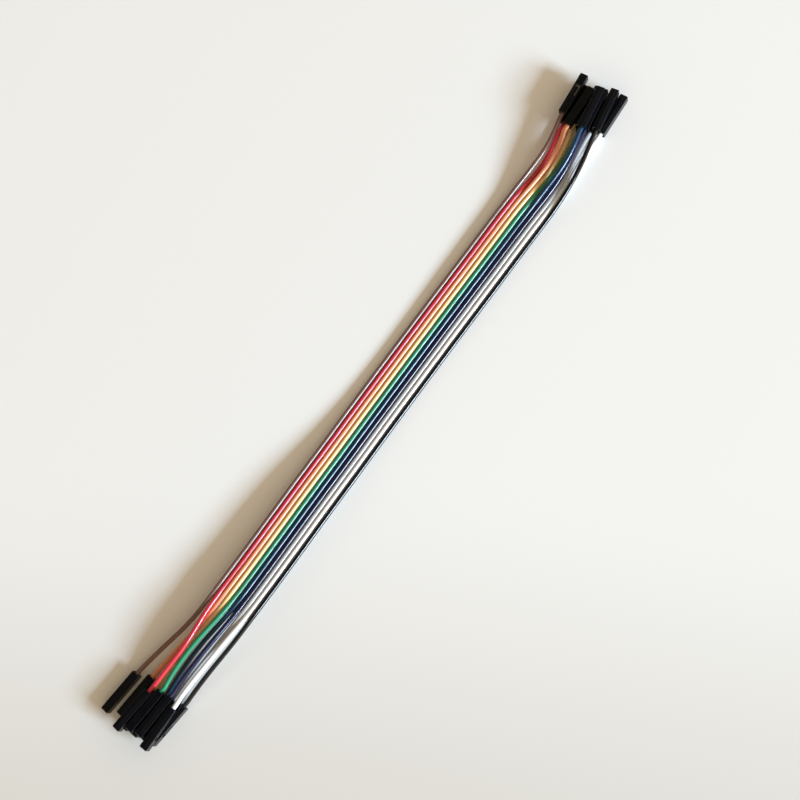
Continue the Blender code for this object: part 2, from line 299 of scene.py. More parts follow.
@dataclass(frozen=True)
class SoftPvc(Finish):
    """Plasticised PVC insulation, drawn through a die: glossy, with faint lines along it.

    The gloss gives the eye one crisp pale line down the lit side of each wire.

    Attributes:
        strained: sRGB hex where the web was torn and the PVC whitened.
        dusty: sRGB hex of the dull skin that handling leaves.
    """

    strained: str
    dusty: str

    def material(self) -> bpy.types.Material:
        """Builds the material from the point values run and strain.

        Returns:
            The material.
        """
        made, tree = self.start()
        run = add_node(tree, "ShaderNodeAttribute", {"attribute_name": "run"}, {}).outputs["Vector"]
        strain = add_node(tree, "ShaderNodeAttribute", {"attribute_name": "strain"}, {}).outputs["Fac"]
        # Pigment streaks of about 12 mm along the wire, as compound mixes unevenly in the die
        drawn = add_node(tree, "ShaderNodeVectorMath", {"operation": "MULTIPLY"}, {
            0: run, 1: (0.9, 0.9, 0.08),
        })
        streaks = add_node(tree, "ShaderNodeTexNoise", {}, {"Vector": drawn, "Scale": 1.0, "Detail": 3.0})
        # Die lines are about 0.03 mm apart, drawn at 0.2 mm so that they show
        scored = add_node(tree, "ShaderNodeVectorMath", {"operation": "MULTIPLY"}, {
            0: run, 1: (5.0, 5.0, 0.05),
        })
        lines = add_node(tree, "ShaderNodeTexNoise", {}, {"Vector": scored, "Scale": 1.0, "Detail": 2.0})
        # Skin texture of 0.15 mm, coarser than the real 0.02 mm
        skin = add_node(tree, "ShaderNodeTexNoise", {}, {"Vector": run, "Scale": 6.5, "Detail": 3.0})
        # Handling dulls patches of about 6 mm
        held = add_node(tree, "ShaderNodeVectorMath", {"operation": "MULTIPLY"}, {
            0: run, 1: (0.5, 0.5, 0.16),
        })
        handled = add_node(tree, "ShaderNodeTexNoise", {}, {"Vector": held, "Scale": 1.0, "Detail": 4.0})
        shade = add_node(tree, "ShaderNodeMapRange", {}, {
            "Value": streaks, "From Min": 0.3, "From Max": 0.7, "To Min": 0.0, "To Max": 0.35,
        })
        body = add_node(tree, "ShaderNodeMix", {"data_type": "RGBA"}, {
            0: shade, 6: linear(self.colour), 7: linear(self.dusty),
        })
        torn = add_node(tree, "ShaderNodeMix", {"data_type": "RGBA"}, {
            0: strain, 6: body.outputs[2], 7: linear(self.strained),
        })
        gloss = add_node(tree, "ShaderNodeMapRange", {}, {
            "Value": handled, "From Min": 0.3, "From Max": 0.7,
            "To Min": self.roughness - 0.05, "To Max": self.roughness + 0.07,
        })
        height = add_node(tree, "ShaderNodeMath", {"operation": "MULTIPLY_ADD"}, {0: skin, 1: 0.5, 2: lines})
        # PVC refracts about 1.53
        self.close(tree, height, {"Base Color": torn.outputs[2], "Roughness": gloss, "IOR": 1.53})
        return made


@dataclass(frozen=True)
class MouldedNylon(Finish):
    """Black nylon, moulded in a spark-eroded steel tool: fine grain, slight gloss, rubbed edges.

    The gloss gives the eye near-black tops, and grey sides where they mirror the table.

    Attributes:
        rubbed: sRGB hex of edges that rub against each other.
    """

    rubbed: str

    def material(self) -> bpy.types.Material:
        """Builds the material from the point values local and edge.

        Returns:
            The material.
        """
        made, tree = self.start()
        local = add_node(tree, "ShaderNodeAttribute", {"attribute_name": "local"}, {}).outputs["Vector"]
        edge = add_node(tree, "ShaderNodeAttribute", {"attribute_name": "edge"}, {}).outputs["Fac"]
        # Erosion grit of 0.04 mm, drawn at 0.11 mm so that it shows
        grit = add_node(tree, "ShaderNodeTexNoise", {}, {"Vector": local, "Scale": 9.0, "Detail": 3.0})
        # Flow of the melt along the housing, about 2 mm wide and 4 mm long
        poured = add_node(tree, "ShaderNodeVectorMath", {"operation": "MULTIPLY"}, {
            0: local, 1: (0.25, 0.6, 0.6),
        })
        flow = add_node(tree, "ShaderNodeTexNoise", {}, {"Vector": poured, "Scale": 1.0, "Detail": 3.0})
        # Rubbing breaks up along the edges every 0.7 mm
        chafe = add_node(tree, "ShaderNodeTexNoise", {}, {"Vector": local, "Scale": 1.4, "Detail": 4.0})
        broken = add_node(tree, "ShaderNodeMapRange", {}, {
            "Value": chafe, "From Min": 0.42, "From Max": 0.62, "To Min": 0.0, "To Max": 1.0,
        })
        worn = add_node(tree, "ShaderNodeMath", {"operation": "MULTIPLY"}, {0: edge, 1: broken})
        paler = add_node(tree, "ShaderNodeMapRange", {}, {
            "Value": flow, "From Min": 0.3, "From Max": 0.7, "To Min": 0.0, "To Max": 0.12,
        })
        share = add_node(tree, "ShaderNodeMath", {"operation": "MAXIMUM"}, {0: worn, 1: paler})
        body = add_node(tree, "ShaderNodeMix", {"data_type": "RGBA"}, {
            0: share, 6: linear(self.colour), 7: linear(self.rubbed),
        })
        even = add_node(tree, "ShaderNodeMapRange", {}, {
            "Value": flow, "From Min": 0.3, "From Max": 0.7,
            "To Min": self.roughness - 0.05, "To Max": self.roughness + 0.05,
        })
        gloss = add_node(tree, "ShaderNodeMath", {"operation": "MULTIPLY_ADD"}, {0: worn, 1: -0.12, 2: even})
        # The ejector pin leaves a step of a hair, 1.1 mm across, on the top and on the bottom face
        centred = add_node(tree, "ShaderNodeVectorMath", {"operation": "SUBTRACT"}, {
            0: local, 1: (3.4, 0.0, 0.0),
        })
        level = add_node(tree, "ShaderNodeVectorMath", {"operation": "MULTIPLY"}, {
            0: centred, 1: (1.0, 1.0, 0.0),
        })
        away = add_node(tree, "ShaderNodeVectorMath", {"operation": "LENGTH"}, {0: level}).outputs["Value"]
        step = add_node(tree, "ShaderNodeMapRange", {}, {
            "Value": away, "From Min": 0.50, "From Max": 0.56, "To Min": -2.0, "To Max": 0.0,
        })
        height = add_node(tree, "ShaderNodeMath", {"operation": "ADD"}, {0: grit, 1: step})
        # Nylon refracts about 1.53; 1.38 gives tops that mirror as little of the room as they look
        self.close(tree, height, {"Base Color": body.outputs[2], "Roughness": gloss, "IOR": 1.38})
        return made


@dataclass(frozen=True)
class TinnedBronze(Finish):
    """Phosphor bronze strip, rolled, tinned and folded: pale metal with lines along the strip.

    The tin gives the eye a soft silvery gleam with dull smudges where it was pressed.

    Attributes:
        smudge: sRGB hex of the dulled tin.
    """

    smudge: str

    def material(self) -> bpy.types.Material:
        """Builds the material from the point value local.

        Returns:
            The material.
        """
        made, tree = self.start()
        local = add_node(tree, "ShaderNodeAttribute", {"attribute_name": "local"}, {}).outputs["Vector"]
        # Roll marks of 0.02 mm, drawn at 0.09 mm so that they show
        rolled = add_node(tree, "ShaderNodeVectorMath", {"operation": "MULTIPLY"}, {
            0: local, 1: (0.35, 11.0, 11.0),
        })
        marks = add_node(tree, "ShaderNodeTexNoise", {}, {"Vector": rolled, "Scale": 1.0, "Detail": 2.0})
        # Tin flows in patches of about 0.9 mm
        patches = add_node(tree, "ShaderNodeTexNoise", {}, {"Vector": local, "Scale": 1.1, "Detail": 4.0})
        dull = add_node(tree, "ShaderNodeMapRange", {}, {
            "Value": patches, "From Min": 0.3, "From Max": 0.7, "To Min": 0.0, "To Max": 0.8,
        })
        body = add_node(tree, "ShaderNodeMix", {"data_type": "RGBA"}, {
            0: dull, 6: linear(self.colour), 7: linear(self.smudge),
        })
        gloss = add_node(tree, "ShaderNodeMapRange", {}, {
            "Value": patches, "From Min": 0.3, "From Max": 0.7,
            "To Min": self.roughness - 0.06, "To Max": self.roughness + 0.12,
        })
        self.close(tree, marks, {"Base Color": body.outputs[2], "Metallic": 1.0, "Roughness": gloss})
        return made


@dataclass(frozen=True)
class CopperStrand(Finish):
    """Annealed copper wire, drawn bright and slightly tarnished: warm metal, darker in the lay.

    Attributes:
        tarnish: sRGB hex of the tarnished copper.
    """

    tarnish: str

    def material(self) -> bpy.types.Material:
        """Builds the material from the point value local.

        Returns:
            The material.
        """
        made, tree = self.start()
        local = add_node(tree, "ShaderNodeAttribute", {"attribute_name": "local"}, {}).outputs["Vector"]
        # Tarnish in spots of about 0.4 mm
        spots = add_node(tree, "ShaderNodeTexNoise", {}, {"Vector": local, "Scale": 2.5, "Detail": 3.0})
        dull = add_node(tree, "ShaderNodeMapRange", {}, {
            "Value": spots, "From Min": 0.3, "From Max": 0.7, "To Min": 0.0, "To Max": 0.7,
        })
        body = add_node(tree, "ShaderNodeMix", {"data_type": "RGBA"}, {
            0: dull, 6: linear(self.colour), 7: linear(self.tarnish),
        })
        gloss = add_node(tree, "ShaderNodeMapRange", {}, {
            "Value": spots, "From Min": 0.3, "From Max": 0.7,
            "To Min": self.roughness - 0.05, "To Max": self.roughness + 0.12,
        })
        self.close(tree, spots, {"Base Color": body.outputs[2], "Metallic": 1.0, "Roughness": gloss})
        return made


@dataclass(frozen=True)
class TableTop(Finish):
    """White paint, rolled on a table top: matt and even, with painted shade that darkens it towards the near
    edge, where less light falls.

    Attributes:
        painted_shade: sRGB hex of the painted shade, the darker colour that stands in for less light at the
            near edge.
        slope: Direction in which the painted shade darkens the table.
        fade: Where it starts and ends along that direction, in metres.
    """

    painted_shade: str
    slope: tuple[float, float, float] = (-0.822, -0.569, 0.0)
    fade: tuple[float, float] = (0.02, 0.14)

    def material(self) -> bpy.types.Material:
        """Builds the material from Object coordinates in metres.

        Returns:
            The material.
        """
        made, tree = self.start()
        place = add_node(tree, "ShaderNodeTexCoord", {}, {}).outputs["Object"]
        # Roller texture of about 1.2 mm, only just seen
        roller = add_node(tree, "ShaderNodeTexNoise", {}, {"Vector": place, "Scale": 800.0, "Detail": 3.0})
        # Painted shade: the paint turns darker towards the near edge, in place of the light that falls off
        # there
        near = add_node(tree, "ShaderNodeVectorMath", {"operation": "DOT_PRODUCT"}, {0: place, 1: self.slope})
        painted_shade_share = add_node(tree, "ShaderNodeMapRange", {"interpolation_type": "SMOOTHSTEP"}, {
            "Value": near.outputs["Value"], "From Min": self.fade[0], "From Max": self.fade[1],
            "To Min": 0.0, "To Max": 1.0,
        })
        body = add_node(tree, "ShaderNodeMix", {"data_type": "RGBA"}, {
            0: painted_shade_share, 6: linear(self.colour), 7: linear(self.painted_shade),
        })
        self.close(tree, roller, {"Base Color": body.outputs[2], "Roughness": self.roughness})
        return made


@dataclass
class RibbonPlan:
    """Where each wire and each housing lies, in the same words as the CAD source.

    Attributes:
        wire_od: Outside diameter of a wire.
        wire_space: Width of the web between two wires.
        side: Width of a housing.
        length: Length of a housing.
        side_gap: Space between housings beside each other.
        layer_gap: Space between housings on each other.
        seat: Depth of a wire's insulation in its housing.
        straight: Length that leaves the housing straight.
        exits: Two distances behind the rear face at which the wire is still straight.
        ease: Greatest half length over which a route is eased.
        ease_share: Share of the distance to a straight end over which a route is eased.
        span_steps: Places of the smooth curve between two chosen points.
        chamfer: Chamfer round a housing's front.
    """

    wire_od: float = 1.4 * MM
    wire_space: float = 0.17 * MM
    side: float = 2.54 * MM
    length: float = 14.0 * MM
    side_gap: float = 0.22 * MM
    layer_gap: float = 0.22 * MM
    seat: float = 1.7 * MM
    straight: float = 0.5 * MM
    exits: tuple[float, float] = (0.4 * MM, 2.2 * MM)
    ease: float = 5.0 * MM
    ease_share: float = 0.8
    span_steps: int = 24
    chamfer: float = 0.2 * MM

    # Middle line of the bonded ribbon in millimetres, from end a to end b
    RIBBON: ClassVar[list[tuple[float, float, float]]] = [
        (-73.7, -3.74, 4.4),
        (-61.6, -3.57, 3.9),
        (-48.1, -3.31, 3.7),
        (-33.5, -2.83, 3.0),
        (-19.3, -2.35, 1.9),
        (-5.5, -1.87, 1.1),
        (8.8, -1.64, 0.8),
        (23.2, -1.55, 0.8),
        (38.0, -1.55, 0.95),
        (52.7, -1.6, 1.1),
        (65.0, -1.58, 1.2),
        (76.1, -1.76, 1.5),
    ]
    # Housings: layer, rear face in millimetres along x, lane across y, turn and roll in degrees
    HOUSINGS: ClassVar[dict[str, dict[str, tuple[int, float, float, float, float]]]] = {
        "a": {
            "brown": (0, -104.9, 2.86, 3.6, 90.0),
            "orange": (0, -102.9, 1.27, 3.0, 90.0),
            "yellow": (0, -105.1, 0.11, 2.2, -90.0),
            "blue": (0, -104.7, -1.16, 2.0, 90.0),
            "grey": (0, -103.9, -2.25, 2.6, -90.0),
            "black": (0, -103.4, -3.39, 4.0, -90.0),
            "red": (1, -106.0, 0.25, 4.2, 90.0),
            "green": (1, -103.9, -0.80, 2.6, 180.0),
            "purple": (1, -103.2, -1.92, 1.6, 90.0),
            "white": (1, -105.1, -2.94, -1.3, -90.0),
        },
        "b": {
            "red": (0, 102.4, 1.96, 2.0, -90.0),
            "yellow": (0, 104.0, 0.94, 2.5, 90.0),
            "green": (0, 102.7, -0.08, 3.0, 90.0),
            "grey": (0, 104.2, -1.10, 3.6, -90.0),
            "white": (0, 105.7, -2.13, 4.2, -90.0),
            "brown": (1, 104.1, 2.50, 6.5, 0.0),
            "orange": (1, 101.6, 1.20, 3.0, 180.0),
            "purple": (1, 103.5, -0.69, 10.4, 180.0),
            "black": (1, 105.1, -1.76, 10.8, -90.0),
            "blue": (2, 102.3, -0.60, 10.2, -90.0),
        },
    }
    # Loose lengths of each wire between the split and its housing, in millimetres
    LOOSE: ClassVar[dict[str, dict[str, list[tuple[float, float, float]]]]] = {
        "a": {
            "brown": [(-99.1, 6.93, 1.9), (-93.8, 5.9, 2.9), (-87.5, 4.29, 3.6), (-80.7, 3.31, 4.0)],
            "red": [(-99.6, 0.5, 4.7), (-93.8, 0.01, 5.4), (-87.5, -0.01, 5.5), (-80.7, 1.19, 5.3)],
            "orange": [(-98.6, 2.94, 1.8), (-93.7, 2.2, 2.6), (-87.5, 1.51, 3.3), (-81.2, 0.25, 3.5)],
            "yellow": [(-98.6, 0.59, 1.8), (-93.7, 0.17, 2.6), (-87.5, -0.28, 3.3), (-81.2, -1.27, 3.6)],
            "green": [(-98.6, -1.65, 4.4), (-93.3, -1.66, 5.0), (-87.5, -1.71, 5.2), (-81.2, -2.3, 5.0)],
            "blue": [(-98.9, -2.82, 1.8), (-93.8, -2.7, 2.6), (-87.5, -2.86, 3.3), (-81.2, -3.49, 3.6)],
            "purple": [(-97.6, -5.14, 4.5), (-93.3, -5.3, 5.0), (-87.5, -5.56, 5.2), (-81.2, -5.69, 4.9)],
            "grey": [(-98.6, -6.3, 1.8), (-93.7, -6.45, 2.6), (-87.5, -6.88, 3.3), (-81.2, -7.14, 3.6)],
            "white": [(-99.3, -7.71, 4.3), (-93.8, -8.23, 5.0), (-87.5, -8.61, 5.2), (-81.2, -8.68, 4.9)],
            "black": [(-98.1, -9.44, 1.8), (-92.8, -9.74, 2.7), (-87.5, -10.17, 3.4), (-81.2, -10.62, 3.7)],
        },
        "b": {
            "brown": [(84.0, 4.75, 2.7), (91.0, 4.35, 3.6), (97.5, 5.25, 4.0)],
            "red": [(84.0, 2.85, 1.6), (90.5, 2.8, 1.45), (96.5, 4.55, 1.35)],
            "orange": [(84.0, 1.05, 2.6), (90.5, 0.6, 3.6), (96.0, 1.75, 4.0)],
            "yellow": [(84.0, -0.3, 1.7), (91.0, -0.25, 1.5), (98.0, 0.9, 1.35)],
            "green": [(84.0, -1.75, 1.6), (91.0, -1.75, 1.45), (97.0, -1.1, 1.35)],
            "blue": [(84.0, -3.15, 3.3), (91.0, -3.8, 5.0), (96.5, -3.15, 6.4)],
            "purple": [(84.0, -4.5, 2.05), (91.0, -4.3, 3.2), (97.5, -3.1, 4.0)],
            "grey": [(84.0, -6.05, 1.6), (91.0, -4.9, 1.45), (98.0, -3.8, 1.35)],
            "white": [(84.0, -7.55, 1.6), (91.0, -6.4, 1.45), (98.0, -6.05, 1.35)],
            "black": [(84.0, -8.75, 2.6), (91.0, -8.1, 3.6), (98.0, -6.65, 4.0)],
        },
    }

    def unshifted(self, end: End, hue: Hue) -> Array:
        """Gives the placement of a housing before the middle of all is put on the origin.

        Args:
            end: End of the ribbon.
            hue: Colour of the wire.

        Returns:
            A 4 by 4 placement with x to the housing's front and z to its latch window.
        """
        layer, rear, lane, turn, roll = self.HOUSINGS[end.value][hue.value]
        heading = np.radians(turn if end is End.B else 180.0 - turn)
        along, across = np.cos(heading), np.sin(heading)
        level, lift = np.cos(np.radians(roll)), np.sin(np.radians(roll))
        aim = np.array([[along, -across, 0.0], [across, along, 0.0], [0.0, 0.0, 1.0]])
        turned = np.array([[1.0, 0.0, 0.0], [0.0, level, -lift], [0.0, lift, level]])
        height = self.side / 2 + layer * (self.side + self.layer_gap)
        place = np.eye(4)
        place[:3, :3] = aim @ turned
        place[:3, 3] = (rear * MM, lane * (self.side + self.side_gap), height)
        return place

    def shift(self) -> Array:
        """Returns the move that puts the middle of all housings' box on the origin."""
        half, small = self.side / 2, self.side / 2 - self.chamfer
        shoulder = self.length - self.chamfer
        rings = ((0.0, half), (shoulder, half), (self.length, small))
        outline = np.array([
            (x, y * reach, z * reach, 1.0) for x, reach in rings for y in (-1, 1) for z in (-1, 1)
        ])
        corners = np.concatenate([outline @ self.unshifted(end, hue).T for end in End for hue in Hue])
        middle = (corners.min(axis=0) + corners.max(axis=0)) / 2
        return np.array([-middle[0], -middle[1], 0.0])

    def place(self, end: End, hue: Hue) -> Array:
        """Returns the placement of a housing in the frame of the model."""
        place = self.unshifted(end, hue)
        place[:3, 3] += self.shift()
        return place

    def points(self, hue: Hue) -> Array:
        """Gives the chosen points of a wire's route from end a to end b.

        A bonded wire lies at a fixed offset to the left of the ribbon's middle line.

        Args:
            hue: Colour of the wire.

        Returns:
            Points in metres, one a row.
        """
        middle = np.array(self.RIBBON) * MM
        wide = np.concatenate([middle[:1], middle, middle[-1:]])
        ahead = wide[2:] - wide[:-2]
        left = np.stack([-ahead[:, 1], ahead[:, 0], 0.0 * ahead[:, 0]], axis=1)
        left = left / np.linalg.norm(left, axis=1, keepdims=True)
        offset = ((len(Hue) - 1) / 2 - list(Hue).index(hue)) * (self.wire_od + self.wire_space)
        seats = np.array([(x, 0.0, 0.0, 1.0) for x in (self.seat, -self.exits[0], -self.exits[1])])
        near = (seats @ self.unshifted(End.A, hue).T)[:, :3]
        far = (seats @ self.unshifted(End.B, hue).T)[::-1, :3]
        loose_a = np.array(self.LOOSE["a"][hue.value]) * MM
        loose_b = np.array(self.LOOSE["b"][hue.value]) * MM
        return np.concatenate([near, loose_a, middle + left * offset, loose_b, far]) + self.shift()

    def line(self, hue: Hue, step: float) -> Array:
        """Gives a wire's centre line at an even step.

        A centripetal Catmull-Rom curve runs through the points and is eased twice before the
        even step is taken.

        Args:
            hue: Colour of the wire.
            step: Distance between two points of the line.

        Returns:
            Points in metres, one a row.
        """
        chosen = self.points(hue)
        nodes = np.concatenate([2 * chosen[:1] - chosen[1:2], chosen, 2 * chosen[-1:] - chosen[-2:-1]])
        a, b, c, d = (nodes[i:len(nodes) - 3 + i, None, :] for i in range(4))
        tb = np.linalg.norm(b - a, axis=2, keepdims=True) ** 0.5
        tc = tb + np.linalg.norm(c - b, axis=2, keepdims=True) ** 0.5
        td = tc + np.linalg.norm(d - c, axis=2, keepdims=True) ** 0.5
        u = tb + (np.arange(self.span_steps) / self.span_steps)[None, :, None] * (tc - tb)
        ab = a * ((tb - u) / tb) + b * (u / tb)
        bc = b * ((tc - u) / (tc - tb)) + c * ((u - tb) / (tc - tb))
        cd = c * ((td - u) / (td - tc)) + d * ((u - tc) / (td - tc))
        abc = ab * ((tc - u) / tc) + bc * (u / tc)
        bcd = bc * ((td - u) / (td - tb)) + cd * ((u - tb) / (td - tb))
        curve = abc * ((tc - u) / (tc - tb)) + bcd * ((u - tb) / (tc - tb))
        line = np.concatenate([curve.reshape(-1, 3), chosen[-1:]])
        line = self.eased(self.eased(line))
        travel = distance_along(line)
        wanted = np.linspace(0.0, travel[-1], round(travel[-1] / step) + 1)
        return np.stack([np.interp(wanted, travel, line[:, k]) for k in range(3)], axis=1)

    def eased(self, line: Array) -> Array:
        """Moves each point to the mean of its stretch, which shrinks to nothing at both ends.

        The mean is the difference of the line's running integral at travel + reach and at
        travel - reach, divided by twice the reach.

        Args:
            line: Points of the route.

        Returns:
            The eased line, with the same number of points.
        """
        travel = distance_along(line)
        inside = np.minimum(travel, travel[-1] - travel) - self.seat - self.straight
        reach = np.clip(self.ease_share * inside, 1e-6, self.ease)
        steps = (line[1:] + line[:-1]) / 2 * np.diff(travel)[:, None]
        total = np.concatenate([np.zeros((1, 3)), np.cumsum(steps, axis=0)])
        sums = [
            np.interp(travel + reach, travel, total[:, k]) - np.interp(travel - reach, travel, total[:, k])
            for k in range(3)
        ]
        moved = np.stack(sums, axis=1) / (2 * reach)[:, None]
        return np.where(inside[:, None] > 0.0, moved, line)


@dataclass
class BondedWire:
    """One insulated wire, with the web edges along which it is bonded to its neighbours.

    Attributes:
        plan: Where the wires lie.
        hue: Colour of the wire.
        step: Distance between rings.
        web_half: Half thickness of a web where two wires meet.
        fillet: Angle in degrees from the web over which it runs into the round.
        scar: Height of the ridge that a torn web leaves.
        overlap: How far two bonded webs pass the middle of their gap.
        bare_half: Half thickness of the smooth side where there is no web.
        rough_half: What an uneven scar adds to it.
        fade: Length over which a bond ends.
        tag: Height, place past the split and length of the torn tag.
        whitened: Length past a split over which the PVC is whitened.
        whitened_angle: Angle from the web at which the whitening ends, and the angle of its fade.
        waves: Spacing of the scar's fine and long waves, of the tag's and of the whitening's.
        cut: Shares of the radius of the two rings that round a cut end.
        cut_run: Share of a step over which they run.
        pattern_step: Distance between the patterns of two wires, in millimetres.
    """

    plan: RibbonPlan
    hue: Hue
    step: float = 0.5 * MM
    web_half: float = 0.16 * MM
    fillet: float = 33.0
    scar: float = 0.045 * MM
    overlap: float = 0.008 * MM
    bare_half: float = 0.05 * MM
    rough_half: float = 0.06 * MM
    fade: float = 0.7 * MM
    tag: tuple[float, float, float] = (0.10 * MM, 0.5 * MM, 0.45 * MM)
    whitened: float = 1.6 * MM
    whitened_angle: tuple[float, float] = (0.75, 0.5)
    waves: tuple[float, float, float, float] = (0.9 * MM, 7.0 * MM, 0.6 * MM, 0.8 * MM)
    cut: tuple[float, float] = (0.35, 0.93)
    cut_run: float = 0.12
    pattern_step: float = 11.0

    # Where the bond of a wire to the next ends, in millimetres along x, at both ends
    SPLITS: ClassVar[dict[str, tuple[float, float]]] = {
        "brown": (-72.6, 75.0), "red": (-73.4, 75.9), "orange": (-72.2, 74.6),
        "yellow": (-73.8, 76.4), "green": (-72.9, 75.3), "blue": (-74.0, 76.0),
        "purple": (-72.4, 75.1), "grey": (-74.3, 76.6), "white": (-73.1, 75.5),
    }

    def sides(self) -> Array:
        """Returns the angles of a ring's points from the left side, close together at the webs."""
        near = np.radians([-33.0, -27.0, -22.0, -17.0, -12.5, -6.0, 0.0, 6.0, 12.5, 17.0, 22.0, 27.0])
        over = np.radians(np.linspace(33.0, 147.0, 11)[:-1])
        return np.concatenate([near, over, near + np.pi, over + np.pi])

    def web(self, place: Array, travel: Array, pair: str | None, seed: int) -> tuple[Array, Array, Array]:
        """Gives the web edge on one side of the wire.

        The edge reaches half of the gap where the wires are bonded, falls to an uneven scar
        past each split, and stands out in a short torn tag just past the split.

        Args:
            place: The rings' x in metres.
            travel: The rings' distance along the wire.
            pair: Colour whose split is used, or None where there is no neighbour.
            seed: Number that fixes the scar's unevenness.

        Returns:
            Reach past the round, half thickness, and strain from 0 to 1, one for each ring.
        """
        if pair is None:
            return np.zeros_like(travel), np.full_like(travel, self.bare_half), np.zeros_like(travel)
        low, high = (x * MM for x in self.SPLITS[pair])
        fine, long, torn, pale = self.waves
        bonded = smooth_step((place - low) / self.fade) * smooth_step((high - place) / self.fade)
        rough = ripple(travel, fine, seed) * (0.4 + 0.6 * ripple(travel, long, seed + 50))
        past = np.maximum(low - place, place - high)
        tall, middle, width = self.tag
        tag = tall * np.exp(-(((past - middle) / width) ** 2)) * ripple(travel, torn, seed + 90)
        whole = self.plan.wire_space / 2 + self.overlap
        reach = bonded * whole + (1.0 - bonded) * (self.scar * rough + tag)
        half = bonded * self.web_half + (1.0 - bonded) * (self.bare_half + self.rough_half * rough)
        strain = np.exp(-((past / self.whitened) ** 2)) * ripple(travel, pale, seed + 130)
        return reach, half, strain

    def surface(self) -> Surface:
        """Carries the wire's profile along its route.

        The radius is R + reach flat across the web, (R + reach) / cos(angle), as far as its
        half thickness, then falls to R as the square of the share of the fillet angle left.
        Three small rings round the cut ends of the insulation.

        Returns:
            The closed surface, with the point values run, in millimetres, and strain.
        """
        line = self.plan.line(self.hue, self.step)
        travel = distance_along(line)
        _, side, up = path_axes(line)
        hues = list(Hue)
        number = hues.index(self.hue)
        before = hues[number - 1].value if number > 0 else None
        after = self.hue.value if number < len(hues) - 1 else None
        radius = self.plan.wire_od / 2
        angle = self.sides()[None, :]
        turned = (angle + np.pi / 2) % (2 * np.pi) - np.pi / 2
        shape = np.full((len(line), angle.size), radius)
        strain = np.zeros_like(shape)
        for pair, away in ((before, np.abs(turned)), (after, np.abs(turned - np.pi))):
            reach, half, pull = self.web(line[:, 0], travel, pair, 7 * number + (3 if pair == after else 0))
            tip = (radius + reach)[:, None]
            edge = np.arctan2(half[:, None], tip)
            fillet_end = np.radians(self.fillet)
            left = np.clip((fillet_end - away) / (fillet_end - edge), 0.0, 1.0)
            fillet = radius + (tip / np.cos(edge) - radius) * left ** 2
            flat = tip / np.cos(np.minimum(away, edge))
            shape = np.maximum(shape, np.where(away <= edge, flat, fillet))
            spread = smooth_step((self.whitened_angle[0] - away) / self.whitened_angle[1])
            strain = np.maximum(strain, pull[:, None] * spread)
        ends = np.array([0, 0, *range(len(line)), len(line) - 1, len(line) - 1])
        scale = np.ones(len(ends))
        scale[[0, 1, -2, -1]] = (*self.cut, *self.cut[::-1])
        line_in, side_in, up_in = line[ends], side[ends], up[ends]
        line_in[2] += (line[1] - line[0]) * self.cut_run
        line_in[-3] += (line[-2] - line[-1]) * self.cut_run
        grown = shape[ends] * scale[:, None]
        cosine, sine = np.cos(angle), np.sin(angle)
        across = cosine[..., None] * side_in[:, None, :] + sine[..., None] * up_in[:, None, :]
        points = line_in[:, None, :] + grown[..., None] * across
        columns = (radius * cosine, radius * sine, travel[ends][:, None])
        run = np.stack([np.broadcast_to(column, grown.shape) for column in columns], axis=-1)
        run = run / MM + np.array([self.pattern_step * number, 0.0, 0.0])
        rings, count = grown.shape
        caps = [list(range(count)), list(range((rings - 1) * count, rings * count))]
        return Surface(
            points.reshape(-1, 3), ring_quads(rings, count), caps,
            {"run": run.reshape(-1, 3), "strain": strain[ends].ravel()},
        )

    def build(self, finish: bpy.types.Material) -> bpy.types.Object:
        """Args:
            finish: Material of the insulation.

        Returns:
            The piece.
        """
        made = self.surface().piece("insulated_wire_" + self.hue.value, finish, 50.0)
        line = self.plan.line(self.hue, self.step)
        mouth = (self.plan.place(End.A, self.hue) @ np.array([0.0, 0.0, 0.0, 1.0]))[:3]
        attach(made, "root")
        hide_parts("wire_" + self.hue.value)
        return made


